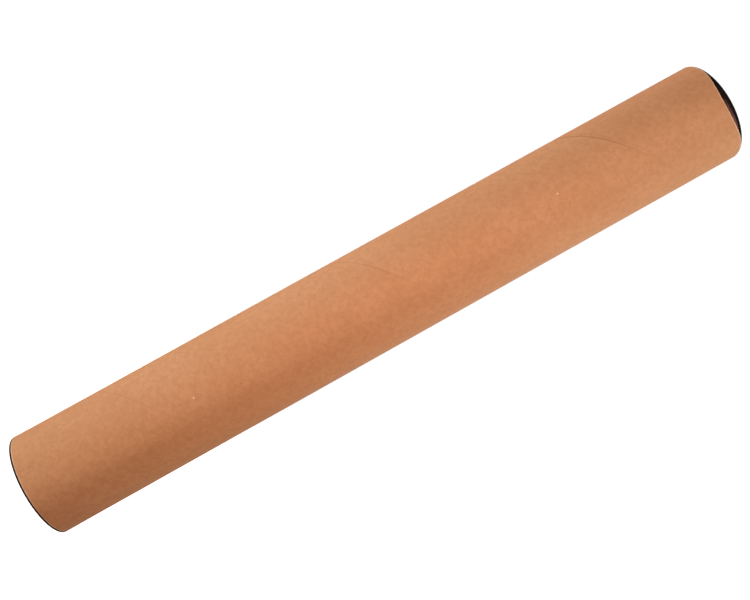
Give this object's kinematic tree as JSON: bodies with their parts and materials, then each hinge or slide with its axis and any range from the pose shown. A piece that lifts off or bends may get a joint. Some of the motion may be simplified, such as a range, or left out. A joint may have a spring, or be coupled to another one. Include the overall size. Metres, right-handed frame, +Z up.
{
  "type": "cardboard mailing tube",
  "caption": "Spiral-wound kraft board mailing tube with a thumb notch in its upper rim and a push-in plastic plug closing each end.",
  "frame": {"origin": "on the floor at the centre of the lower plug's face, at the bottom centre of the bounding box", "axes": "+Z up along the tube's axis, -Y the way the thumb notch in the upper rim faces, +X to the right when looking at the notch"},
  "size_m": [0.084, 0.084, 0.6122],
  "materials": {
    "kraft_board": "matte",
    "black_plastic": "satin"
  },
  "bodies": {
    "lower_plug_body": {"lower_plug": "black_plastic"},
    "tube_body": {"tube": "kraft_board"},
    "upper_plug_body": {"upper_plug": "black_plastic"}
  },
  "joints": [
    {"name": "tube_slide", "type": "slide", "parent": "lower_plug_body", "child": "tube_body", "axis": [0, 0, 1], "range_m": [0, 0.035]},
    {"name": "upper_plug_slide", "type": "slide", "parent": "tube_body", "child": "upper_plug_body", "axis": [0, 0, 1], "range_m": [0, 0.035]}
  ]
}
